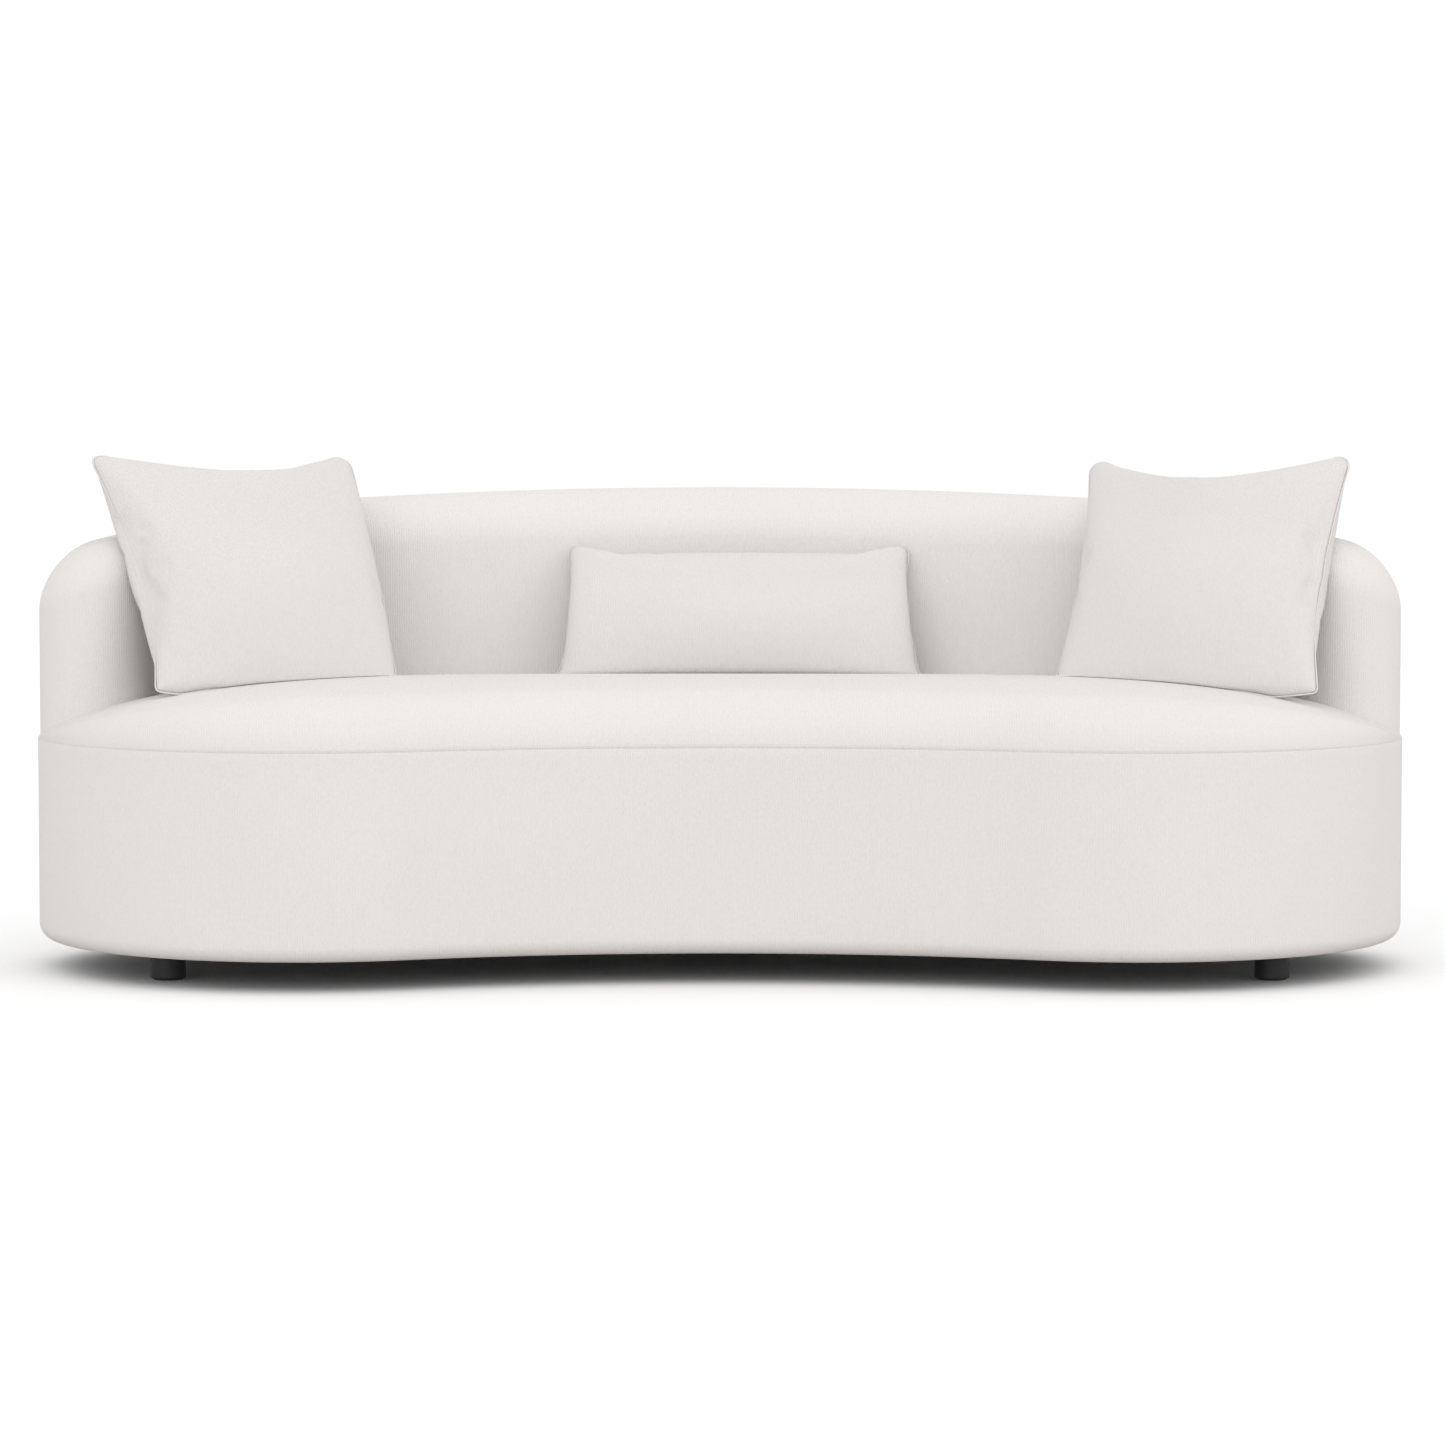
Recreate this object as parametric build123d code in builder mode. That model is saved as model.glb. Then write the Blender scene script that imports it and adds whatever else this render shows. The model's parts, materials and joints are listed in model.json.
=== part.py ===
from build123d import *
from math import acos, asin, atan2, cos, degrees, radians, sin, sqrt
import os

# A low curved sofa: a kidney-shaped upholstered base on short round feet, a wrap-around back whose
# rim rolls over into the arms, a tight crowned seat and three loose pillows.
# X runs along the sofa, -Y is the front, Z is up from the floor, all in millimetres.

os.makedirs("parts", exist_ok=True)

# Body plan: six tangent arcs
body_width = 2300.0
body_depth = 950.0
lobe_radius = 470.0
front_hollow_radius = 1350.0
rear_corner_radius = 340.0

# Heights
ground_clearance = 50.0
seam_height = 387.0
back_height = 800.0
seat_crown = 102.0

# Back and arms
shell_thickness = 185.0
rim_roll = 88.0
rim_arch_radius = 11900.0
rim_shoulder_start = 700.0
rim_shoulder_radius = 1560.0
rim_seam_inset = 12.0

# Seat crown: how it falls to the ends, and its roll at the front
crown_end_gap = 10.0
crown_fall = 5.5
crown_roll_share = 0.9
crown_back_share = 0.74
crown_back_reach = 290.0
seat_slices = (0.13, 0.26, 0.38, 0.5, 0.62, 0.74, 0.84, 0.92, 0.97, 1)

# Layers, from the outside in
cover_thickness = 2.5
padding_thickness = 20.0
board_thickness = 4.0
board_lift = 4.0
layer_gap = 0.3
bottom_roll = 40.0
hem_width = 75.0
dust_cover_thickness = 1.0

# Timber frame
base_ring_width = 140.0
base_ring_lift = 6.0
seat_ring_width = 75.0
seat_ring_bottom = 300.0
panel_thickness = 24.0
rail_width = 70.0
rail_spacing = 480.0
stud_width = 45.0
stud_depth = 70.0
lobe_stud_turn = 20.0
back_post_count = 6
top_rail_bottom = 570.0
top_rail_width = 60.0
rail_plate_length = 100.0
rail_plate_width = 30.0
rail_plate_thickness = 2.0

# Suspension
spring_count = 7
spring_spacing = 240.0
spring_wire = 3.8
spring_width = 50.0
spring_pitch = 32.0
spring_bend = 14.0
spring_end_inset = 62.0
clip_length = 26.0
clip_width = 64.0
clip_thickness = 1.5
felt_thickness = 3.0
webbing_width = 60.0
webbing_thickness = 2.0
webbing_count = 3
webbing_first_lift = 26.0
webbing_pitch = 80.0

# Feet
foot_diameter = 58.0
foot_inset = 133.0
foot_edge = 2.0
front_foot_angle = -47.4
rear_foot_angle = 55.0
centre_foot_y = 200.0
collar_diameter = 36.0
collar_hole = 40.0
glide_diameter = 48.0
glide_thickness = 3.0
bolt_diameter = 8.0
bolt_depth = 32.0
bolt_reach = 34.0
thread_clearance = 0.08
nut_barrel_diameter = 11.0
nut_barrel_length = 14.0
nut_flange_diameter = 24.0
nut_flange_thickness = 1.6

# Pillows
pillow_cover_thickness = 1.6
pillow_draw_in = 15.0
pillow_gap = 0.5
pillow_back_gap = 1.5
square_pillow_size = 450.0
square_pillow_thickness = 135.0
square_pillow_from_side = 356.0
square_pillow_turn = 26.0
square_pillow_lean = 36.0
long_pillow_width = 600.0
long_pillow_height = 236.0
long_pillow_thickness = 118.0
long_pillow_x = 32.0
long_pillow_lean = 27.0
pillow_side_steps = 6
settle_rounds = 24

# Centres of the plan's arcs: each arc runs smoothly into the next
half_width = body_width / 2
lobe_x = half_width - lobe_radius
corner_x = half_width - rear_corner_radius
side_y = lobe_radius - body_depth / 2
rear_reach = body_depth / 2 - side_y
front_y = side_y - sqrt((front_hollow_radius + lobe_radius) ** 2 - lobe_x**2)
back_radius = (half_width**2 + rear_reach**2 - body_width * rear_corner_radius) / (
    2 * (rear_reach - rear_corner_radius)
)
back_y = body_depth / 2 - back_radius
lobe_angle = degrees(atan2(front_y - side_y, -lobe_x))
corner_angle = degrees(atan2(side_y - back_y, corner_x))

# Insets of the layers from the outline, and heights of the frame
padding_outer = cover_thickness + layer_gap
padding_inner = padding_outer + padding_thickness
board_outer = padding_inner + layer_gap
board_inner = board_outer + board_thickness
frame_outer = board_inner + layer_gap
base_ring_inner = frame_outer + base_ring_width
seat_ring_inner = frame_outer + seat_ring_width
stud_middle = frame_outer + stud_depth / 2
webbing_outer = frame_outer + stud_depth + layer_gap
webbing_inner = webbing_outer + webbing_thickness
cavity_inner = webbing_inner + layer_gap

base_ring_bottom = ground_clearance + base_ring_lift
base_ring_top = base_ring_bottom + panel_thickness
seat_ring_top = seat_ring_bottom + panel_thickness
top_rail_top = top_rail_bottom + panel_thickness
spring_height = seat_ring_top + clip_thickness + layer_gap + spring_wire / 2
felt_bottom = spring_height + spring_wire / 2 + layer_gap
felt_top = felt_bottom + felt_thickness
dust_cover_top = ground_clearance - layer_gap
dust_cover_bottom = dust_cover_top - dust_cover_thickness
over_size = 4 * body_width


def finish(piece, name):
    """Labels a finished piece and writes it under its own name."""
    piece.part.label = name
    export_step(piece.part, f"parts/{name}.step")


def body_plan(inset):
    """The kidney plan of the body, brought in by inset all round."""
    front_start = lobe_angle + 180
    with BuildSketch() as plan:
        with BuildLine():
            CenterArc((0, front_y), front_hollow_radius + inset, front_start, 180 - 2 * front_start)
            CenterArc((lobe_x, side_y), lobe_radius - inset, lobe_angle, -lobe_angle)
            CenterArc((corner_x, side_y), rear_corner_radius - inset, 0, corner_angle)
            CenterArc((0, back_y), back_radius - inset, corner_angle, 180 - 2 * corner_angle)
            CenterArc((-corner_x, side_y), rear_corner_radius - inset, 180 - corner_angle, corner_angle)
            CenterArc((-lobe_x, side_y), lobe_radius - inset, 180, -lobe_angle)
        make_face()
    return plan.sketch


def shell_plan(inset):
    """The plan of the back and arms, made thinner by inset on every side."""
    arm_x = half_width - shell_thickness / 2
    with BuildSketch() as plan:
        with BuildLine():
            for skin in (inset, shell_thickness - inset):
                CenterArc((corner_x, side_y), rear_corner_radius - skin, 0, corner_angle)
                CenterArc((0, back_y), back_radius - skin, corner_angle, 180 - 2 * corner_angle)
                CenterArc((-corner_x, side_y), rear_corner_radius - skin, 180 - corner_angle, corner_angle)
            for x in (-arm_x, arm_x):
                CenterArc((x, side_y), shell_thickness / 2 - inset, 180, 180)
        make_face()
    return plan.sketch


def ring(bottom, top, outer, inner):
    """A band that follows the outline between two insets."""
    with BuildPart() as band:
        with BuildSketch(Plane.XY.offset(bottom)):
            add(body_plan(outer))
            add(body_plan(inner), mode=Mode.SUBTRACT)
        extrude(amount=top - bottom)
    return band.part


def keep_rear():
    """Cuts away everything in front of the arms' ends."""
    with Locations((0, side_y - over_size / 2, 0)):
        Box(over_size, over_size, over_size, mode=Mode.SUBTRACT)


def keep_front():
    """Cuts away everything behind the arms' ends."""
    with Locations((0, side_y + over_size / 2, 0)):
        Box(over_size, over_size, over_size, mode=Mode.SUBTRACT)


def above_rim(inset):
    """The space above the arched rim that is seen from the front."""
    arch_z = back_height - rim_arch_radius
    turn = asin(rim_shoulder_start / rim_arch_radius)
    centre_gap = rim_arch_radius - rim_shoulder_radius
    shoulder_x = centre_gap * sin(turn)
    shoulder_z = arch_z + centre_gap * cos(turn)
    start = 90 - degrees(turn)
    end = degrees(acos((half_width + shell_thickness - shoulder_x) / rim_shoulder_radius))
    with BuildPart() as space:
        with BuildSketch(Plane.XZ):
            with BuildLine():
                right = CenterArc((shoulder_x, shoulder_z), rim_shoulder_radius - inset, end, start - end)
                CenterArc((0, arch_z), rim_arch_radius - inset, start, 180 - 2 * start)
                left = CenterArc((-shoulder_x, shoulder_z), rim_shoulder_radius - inset, 180 - start, start - end)
                Polyline(right @ 0, ((right @ 0).X, over_size), ((left @ 1).X, over_size), left @ 1)
            make_face()
        extrude(amount=over_size, both=True)
    return space.part


def shell_solid(inset):
    """The back and arms with their rolled rim, smaller by inset."""
    with BuildPart() as shell:
        with BuildSketch(Plane.XY.offset(seam_height)):
            add(shell_plan(inset))
        extrude(amount=back_height)
        add(above_rim(inset), mode=Mode.SUBTRACT)
        rim_edges = shell.edges().filter_by(GeomType.LINE, reverse=True)
        rim_edges = rim_edges.filter_by(lambda edge: edge.center().Z > seam_height + shell_thickness)
        fillet(rim_edges, rim_roll - inset)
    return shell.part


def drum_solid(inset, top):
    """The base with its rolled lower edge, smaller by inset."""
    bottom = ground_clearance + inset
    with BuildPart() as drum:
        with BuildSketch(Plane.XY.offset(bottom)):
            add(body_plan(inset))
        extrude(amount=top - bottom)
        fillet(drum.edges().group_by(Axis.Z)[0], bottom_roll - inset)
    return drum.part


def front_line(x, inset):
    """Where the front of the outline lies at x."""
    across = abs(x)
    meeting = lobe_x * front_hollow_radius / (front_hollow_radius + lobe_radius)
    if across < meeting:
        return front_y + sqrt((front_hollow_radius + inset) ** 2 - across**2)
    return side_y - sqrt((lobe_radius - inset) ** 2 - (across - lobe_x) ** 2)


def rear_line(x, inset):
    """Where the back of the outline lies at x."""
    return back_y + sqrt((back_radius - inset) ** 2 - x**2)


def crown_at(x):
    """How far the seat rises above its seam at x."""
    return seat_crown * (1 - (abs(x) / half_width) ** crown_fall)


def seat_back(x):
    """Where the seat ends inside the back at x."""
    return side_y + crown_back_reach * sqrt(1 - (x / half_width) ** 2)


def seat_section(x, inset):
    """A slice of the seat across its depth: a roll at the front, then a long arc falling to the back."""
    crown = crown_at(x) - inset
    rise = crown_roll_share * crown
    roll = crown_roll_share * rise
    front = front_line(x, inset)
    back = seat_back(x) + inset
    with BuildSketch(Plane.YZ.offset(x)) as section:
        with BuildLine():
            edge = TangentArc((front, seam_height), (front + roll, seam_height + rise), tangent=(0, 1))
            top = TangentArc(edge @ 1, (back, seam_height + crown_back_share * crown), tangent=edge % 1)
            Polyline(top @ 1, (back, seam_height), edge @ 0)
        make_face()
    return section.sketch


def seat_solid(inset):
    """The crowned seat above its seam, smaller by inset."""
    end = half_width - crown_end_gap - inset
    right = [end * share for share in seat_slices]
    places = [-x for x in reversed(right)] + [0] + right
    with BuildPart() as seat:
        loft([seat_section(x, inset) for x in places])
    return seat.part


def stations(centre, inset_radius, angles):
    """Places along an arc of the frame, each turned to face out."""
    return [
        Location(
            (centre[0] + inset_radius * cos(radians(a)), centre[1] + inset_radius * sin(radians(a)), 0), (0, 0, a)
        )
        for a in angles
    ]


def back_angles(inset_radius, places):
    """Angles on the back's arc at the given places along X."""
    return [90 - degrees(asin(x / inset_radius)) for x in places]


# Solids that several pieces are cut from or by
shell_outside = shell_solid(0)
shell_inside = shell_solid(cover_thickness)
shell_filling = shell_solid(padding_outer)
shell_clear = shell_solid(-layer_gap)
drum_outside = drum_solid(0, seam_height)
drum_inside = drum_solid(cover_thickness, seam_height)
seat_outside = seat_solid(0)
seat_inside = seat_solid(cover_thickness)
seat_filling = seat_solid(padding_outer)

with BuildPart() as frame_space:
    add(ring(0, top_rail_top + layer_gap, -cover_thickness, cavity_inner))
    keep_rear()

with BuildPart() as rim_edge:
    add(ring(0, over_size, -cover_thickness, rim_seam_inset))
    keep_rear()

# Covers
with BuildPart() as seat_cover:
    add(seat_outside)
    add(shell_clear, mode=Mode.SUBTRACT)
    add(seat_inside, mode=Mode.SUBTRACT)
finish(seat_cover, "seat_cover")

with BuildPart() as front_border_cover:
    add(drum_outside)
    add(drum_inside, mode=Mode.SUBTRACT)
    with BuildSketch(Plane.XY):
        add(body_plan(hem_width))
    extrude(amount=seam_height, mode=Mode.SUBTRACT)
    keep_front()
finish(front_border_cover, "front_border_cover")

with BuildPart() as inside_back_cover:
    add(shell_outside)
    add(shell_inside, mode=Mode.SUBTRACT)
    add(rim_edge.part, mode=Mode.SUBTRACT)
finish(inside_back_cover, "inside_back_cover")

with BuildPart() as rim_strip:
    add(shell_outside)
    add(shell_inside, mode=Mode.SUBTRACT)
    add(rim_edge.part, mode=Mode.INTERSECT)

with BuildPart() as outside_back_cover:
    add(drum_outside)
    add(drum_inside, mode=Mode.SUBTRACT)
    with BuildSketch(Plane.XY):
        add(body_plan(hem_width))
    extrude(amount=seam_height, mode=Mode.SUBTRACT)
    keep_rear()
    add(rim_strip.part)
finish(outside_back_cover, "outside_back_cover")

# Foams and padding
with BuildPart() as seat_foam:
    add(seat_filling)
    add(shell_clear, mode=Mode.SUBTRACT)
finish(seat_foam, "seat_foam")

with BuildPart() as seat_base_foam:
    with BuildSketch(Plane.XY.offset(felt_top + layer_gap)):
        add(body_plan(frame_outer))
    extrude(amount=seam_height - felt_top - layer_gap)
    add(frame_space.part, mode=Mode.SUBTRACT)
finish(seat_base_foam, "seat_base_foam")

with BuildPart() as back_foam:
    add(shell_filling)
    add(frame_space.part, mode=Mode.SUBTRACT)
finish(back_foam, "back_foam")

for name, top, keep in (
    ("front_border", seam_height, keep_front),
    ("outside_back", top_rail_top, keep_rear),
):
    with BuildPart() as padding:
        add(drum_solid(padding_outer, top))
        with BuildSketch(Plane.XY):
            add(body_plan(padding_inner))
        extrude(amount=top, mode=Mode.SUBTRACT)
        keep()
    finish(padding, f"{name}_padding")

    with BuildPart() as board:
        add(ring(base_ring_bottom + board_lift, top, board_outer, board_inner))
        keep()
    finish(board, f"{name}_board")

# Feet: where each stands on the floor
lobe_foot_radius = lobe_radius - foot_inset
corner_foot_radius = rear_corner_radius - foot_inset
front_foot = stations((lobe_x, side_y), lobe_foot_radius, [front_foot_angle])[0].position
rear_foot = stations((corner_x, side_y), corner_foot_radius, [rear_foot_angle])[0].position
foot_places = {
    "front_left": (-front_foot.X, front_foot.Y),
    "front_right": (front_foot.X, front_foot.Y),
    "rear_left": (-rear_foot.X, rear_foot.Y),
    "rear_right": (rear_foot.X, rear_foot.Y),
    "centre": (0, centre_foot_y),
}

with BuildPart() as dust_cover:
    with BuildSketch(Plane.XY.offset(dust_cover_bottom)):
        add(body_plan(bottom_roll))
        with Locations(*foot_places.values()):
            Circle(collar_hole / 2, mode=Mode.SUBTRACT)
    extrude(amount=dust_cover_thickness)
finish(dust_cover, "dust_cover")

# Timber frame
nut_hole = nut_barrel_diameter / 2 + layer_gap

with BuildPart() as base_ring:
    add(ring(base_ring_bottom, base_ring_top, frame_outer, base_ring_inner))
    with BuildSketch(Plane.XY.offset(base_ring_bottom)):
        with Locations(*foot_places.values()):
            Circle(nut_hole)
    extrude(amount=panel_thickness, mode=Mode.SUBTRACT)
finish(base_ring, "base_ring")

rail_places = {"left": -rail_spacing, "centre": 0, "right": rail_spacing}
for name, x in rail_places.items():
    with BuildPart() as base_rail:
        with BuildSketch(Plane.XY.offset(base_ring_bottom)):
            add(body_plan(base_ring_inner + layer_gap))
            with Locations((x, 0)):
                Rectangle(rail_width, body_depth, mode=Mode.INTERSECT)
            if name == "centre":
                with Locations(foot_places["centre"]):
                    Circle(nut_hole, mode=Mode.SUBTRACT)
        extrude(amount=panel_thickness)
    finish(base_rail, f"base_rail_{name}")

plate_places = [(x, front_line(x, base_ring_inner)) for x in rail_places.values()]
plate_places += [(x, rear_line(x, base_ring_inner)) for x in rail_places.values()]
with BuildPart() as rail_plates:
    with BuildSketch(Plane.XY.offset(base_ring_top)):
        with Locations(*plate_places):
            Rectangle(rail_plate_width, rail_plate_length)
    extrude(amount=rail_plate_thickness)
finish(rail_plates, "rail_plates")

with BuildPart() as seat_ring:
    add(ring(seat_ring_bottom, seat_ring_top, frame_outer, seat_ring_inner))
finish(seat_ring, "seat_ring")

post_radius = back_radius - stud_middle
corner_post_radius = rear_corner_radius - stud_middle
lobe_stud_radius = lobe_radius - stud_middle
hollow_stud_radius = front_hollow_radius + stud_middle
side_offset = degrees(asin(stud_width / corner_post_radius))
back_post_places = [spring_spacing * (n - (back_post_count - 1) / 2) for n in range(back_post_count)]
post_places = stations((0, back_y), post_radius, back_angles(post_radius, back_post_places))
post_places += stations((corner_x, side_y), corner_post_radius, [side_offset, rear_foot_angle])
post_places += stations((-corner_x, side_y), corner_post_radius, [180 - side_offset, 180 - rear_foot_angle])
lobe_stud_angle = lobe_angle + lobe_stud_turn
stud_places = post_places + stations((lobe_x, side_y), lobe_stud_radius, [lobe_stud_angle, front_foot_angle])
stud_places += stations((-lobe_x, side_y), lobe_stud_radius, [180 - lobe_stud_angle, 180 - front_foot_angle])
hollow_stud_angles = back_angles(hollow_stud_radius, [-spring_spacing, spring_spacing])
stud_places += stations((0, front_y), hollow_stud_radius, hollow_stud_angles)

with BuildPart() as base_studs:
    with BuildSketch(Plane.XY.offset(base_ring_top)):
        with Locations(*stud_places):
            Rectangle(stud_depth, stud_width)
        add(body_plan(frame_outer), mode=Mode.INTERSECT)
    extrude(amount=seat_ring_bottom - base_ring_top)
finish(base_studs, "base_studs")

with BuildPart() as back_posts:
    with BuildSketch(Plane.XY.offset(seat_ring_top)):
        with Locations(*post_places):
            Rectangle(stud_depth, stud_width)
        add(body_plan(frame_outer), mode=Mode.INTERSECT)
    extrude(amount=top_rail_bottom - seat_ring_top)
finish(back_posts, "back_posts")

with BuildPart() as top_rail:
    add(ring(top_rail_bottom, top_rail_top, frame_outer, frame_outer + top_rail_width))
    keep_rear()
finish(top_rail, "top_rail")

# Seat springs: zig-zag wires from the front of the seat ring to the back, each end on a clip
spring_places = [spring_spacing * (n - (spring_count - 1) / 2) for n in range(spring_count)]
clip_places = []
for number, x in enumerate(spring_places, start=1):
    start = front_line(x, spring_end_inset)
    end = rear_line(x, spring_end_inset)
    clip_places += [(x, start), (x, end)]
    bends = int((end - start) // spring_pitch)
    step = (end - start) / bends
    points = []
    for bend in range(bends + 1):
        side = spring_width / 2 if bend % 2 else -spring_width / 2
        points += [(x + side, start + bend * step), (x - side, start + bend * step)]
    with BuildPart() as seat_spring:
        with BuildLine(Plane.XY.offset(spring_height)) as wire:
            FilletPolyline(*points, radius=spring_bend)
        with BuildSketch(Plane(wire.line @ 0, z_dir=wire.line % 0)):
            Circle(spring_wire / 2)
        sweep(path=wire.line)
    finish(seat_spring, f"seat_spring_{number}")

with BuildPart() as spring_clips:
    with BuildSketch(Plane.XY.offset(seat_ring_top)):
        with Locations(*clip_places):
            Rectangle(clip_width, clip_length)
    extrude(amount=clip_thickness)
finish(spring_clips, "spring_clips")

with BuildPart() as spring_felt:
    with BuildSketch(Plane.XY.offset(felt_bottom)):
        add(body_plan(frame_outer))
    extrude(amount=felt_thickness)
    add(frame_space.part, mode=Mode.SUBTRACT)
finish(spring_felt, "spring_felt")

for number in range(webbing_count):
    bottom = seat_ring_top + webbing_first_lift + number * webbing_pitch
    with BuildPart() as webbing:
        add(ring(bottom, bottom + webbing_width, webbing_outer, webbing_inner))
        keep_rear()
    finish(webbing, f"back_webbing_{number + 1}")

# Feet, each screwed on a bolt into a nut in the frame
foot_top = dust_cover_bottom - layer_gap
bolt_bottom = foot_top - bolt_depth
bolt_top = base_ring_bottom + bolt_reach
nut_bottom = base_ring_top - nut_barrel_length
bolt_radius = bolt_diameter / 2

for name, (x, y) in foot_places.items():
    with BuildPart() as foot:
        with Locations((x, y, glide_thickness)):
            Cylinder(foot_diameter / 2, foot_top - glide_thickness, align=(Align.CENTER, Align.CENTER, Align.MIN))
        fillet(foot.edges().group_by(Axis.Z)[-1] + foot.edges().group_by(Axis.Z)[0], foot_edge)
        with Locations((x, y, foot_top)):
            Cylinder(
                collar_diameter / 2,
                base_ring_bottom - layer_gap - foot_top,
                align=(Align.CENTER, Align.CENTER, Align.MIN),
            )
        with BuildSketch(Plane.XY.offset(bolt_bottom)):
            with Locations((x, y)):
                Circle(bolt_radius)
        extrude(amount=over_size, mode=Mode.SUBTRACT)
    finish(foot, f"foot_{name}")

    with BuildPart() as foot_bolt:
        with Locations((x, y, bolt_bottom)):
            Cylinder(bolt_radius, bolt_top - bolt_bottom, align=(Align.CENTER, Align.CENTER, Align.MIN))
        chamfer(foot_bolt.edges().group_by(Axis.Z)[-1], bolt_radius / 4)
    finish(foot_bolt, f"foot_bolt_{name}")

    with BuildPart() as foot_glide:
        with Locations((x, y, 0)):
            Cylinder(glide_diameter / 2, glide_thickness, align=(Align.CENTER, Align.CENTER, Align.MIN))
        chamfer(foot_glide.edges().group_by(Axis.Z)[0], glide_thickness / 3)
    finish(foot_glide, f"foot_glide_{name}")

with BuildPart() as foot_nuts:
    for x, y in foot_places.values():
        with Locations((x, y, nut_bottom)):
            Cylinder(nut_barrel_diameter / 2, nut_barrel_length, align=(Align.CENTER, Align.CENTER, Align.MIN))
        with Locations((x, y, base_ring_top)):
            Cylinder(nut_flange_diameter / 2, nut_flange_thickness, align=(Align.CENTER, Align.CENTER, Align.MIN))
        with BuildSketch(Plane.XY.offset(nut_bottom)):
            with Locations((x, y)):
                Circle(bolt_radius + thread_clearance)
        extrude(amount=nut_barrel_length + nut_flange_thickness, mode=Mode.SUBTRACT)
finish(foot_nuts, "foot_nuts")


def pillow_section(plane, width, height, lift, corner_inset, middle_inset):
    """One level of a pillow: four arcs between its corners and the middles of its sides."""
    corner_x_at = width / 2 - corner_inset
    corner_y_at = height / 2 - corner_inset
    side_x_at = width / 2 - middle_inset
    side_y_at = height / 2 - middle_inset
    with BuildSketch(plane.offset(lift)) as section:
        with BuildLine():
            ThreePointArc((-corner_x_at, -corner_y_at), (0, -side_y_at), (corner_x_at, -corner_y_at))
            ThreePointArc((corner_x_at, -corner_y_at), (side_x_at, 0), (corner_x_at, corner_y_at))
            ThreePointArc((corner_x_at, corner_y_at), (0, side_y_at), (-corner_x_at, corner_y_at))
            ThreePointArc((-corner_x_at, corner_y_at), (-side_x_at, 0), (-corner_x_at, -corner_y_at))
        make_face()
    return section.sketch


# Levels of a pillow's crown: share of its half thickness, then insets of the corners and of the sides' middles
pillow_levels = ((0, 0, 0), (0.36, 0.24, 0.05), (0.7, 0.43, 0.17), (0.92, 0.6, 0.38), (1, 0.72, 0.58))


def pillow_half(plane, width, height, thickness, skin, facing):
    """Half of a pillow from its seam to its crown, smaller by skin."""
    across = width - 2 * skin
    up = height - 2 * skin
    crown = thickness / 2 - skin
    reach = height / 2 - skin
    sections = []
    for lift, corner, middle in pillow_levels:
        draw_in = pillow_draw_in * (1 - lift)
        level = facing * lift * crown
        sections.append(pillow_section(plane, across, up, level, corner * reach, middle * reach + draw_in))
    with BuildPart() as half:
        loft(sections)
    return half.part


def pillow(name, plane, width, height, thickness):
    """Writes a pillow's two cover panels and its filling."""
    core_skin = pillow_cover_thickness + layer_gap
    for panel_name, facing in (("front", 1), ("back", -1)):
        with BuildPart() as panel:
            add(pillow_half(plane, width, height, thickness, 0, facing))
            add(pillow_half(plane, width, height, thickness, pillow_cover_thickness, facing), mode=Mode.SUBTRACT)
        finish(panel, f"{name}_{panel_name}_panel")
    with BuildPart() as filling:
        add(pillow_half(plane, width, height, thickness, core_skin, 1))
        add(pillow_half(plane, width, height, thickness, core_skin, -1))
    finish(filling, f"{name}_filling")


def pillow_plane(x, y, z, turn, lean):
    """The seam plane of a pillow: it faces forward, turned to the middle and leaning back."""
    along = Vector(cos(radians(turn)), sin(radians(turn)), 0)
    level = Vector(sin(radians(turn)), -cos(radians(turn)), 0)
    facing = level * cos(radians(lean)) + Vector(0, 0, sin(radians(lean)))
    return Plane((x, y, z), x_dir=along, z_dir=facing)


def pillow_points(plane, width, height, thickness):
    """Places on a pillow's surface, along the sides of each of its levels."""
    points = []
    for lift, corner, middle in pillow_levels:
        corner_x_at = width / 2 - corner * height / 2
        corner_y_at = height / 2 - corner * height / 2
        bow = (middle - corner) * height / 2 + pillow_draw_in * (1 - lift)
        for step in range(-pillow_side_steps, pillow_side_steps + 1):
            share = step / pillow_side_steps
            side_x_at = corner_x_at - bow * (1 - share**2)
            side_y_at = corner_y_at - bow * (1 - share**2)
            for side in (-1, 1):
                for level in (-lift * thickness / 2, lift * thickness / 2):
                    points.append(plane.from_local_coords((share * corner_x_at, side * side_y_at, level)))
                    points.append(plane.from_local_coords((side * side_x_at, share * corner_y_at, level)))
    return points


def seat_height(x, y):
    """How high the seat's cover lies at a place: its roll, then its long arc."""
    across = min(abs(x), half_width - crown_end_gap)
    crown = crown_at(across)
    rise = crown_roll_share * crown
    roll = crown_roll_share * rise
    front = front_line(across, 0)
    depth = min(y, seat_back(across)) - front
    radius = (roll**2 + rise**2) / (2 * roll)
    if depth < roll:
        return seam_height + sqrt(max(radius**2 - (radius - depth) ** 2, 0))
    run = seat_back(across) - front - roll
    drop = crown_back_share * crown - rise
    inward = (radius - roll, -rise)
    arc_radius = (run**2 + drop**2) * radius / (2 * (run * inward[0] + drop * inward[1]))
    centre_depth = roll + arc_radius * inward[0] / radius
    centre_height = rise + arc_radius * inward[1] / radius
    return seam_height + centre_height + sqrt(arc_radius**2 - (depth - centre_depth) ** 2)


def rim_height(x):
    """How high the rim's arch is at x."""
    across = abs(x)
    arch_z = back_height - rim_arch_radius
    if across < rim_shoulder_start:
        return arch_z + sqrt(rim_arch_radius**2 - across**2)
    turn = asin(rim_shoulder_start / rim_arch_radius)
    centre_gap = rim_arch_radius - rim_shoulder_radius
    from_centre = across - centre_gap * sin(turn)
    return arch_z + centre_gap * cos(turn) + sqrt(rim_shoulder_radius**2 - from_centre**2)


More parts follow.
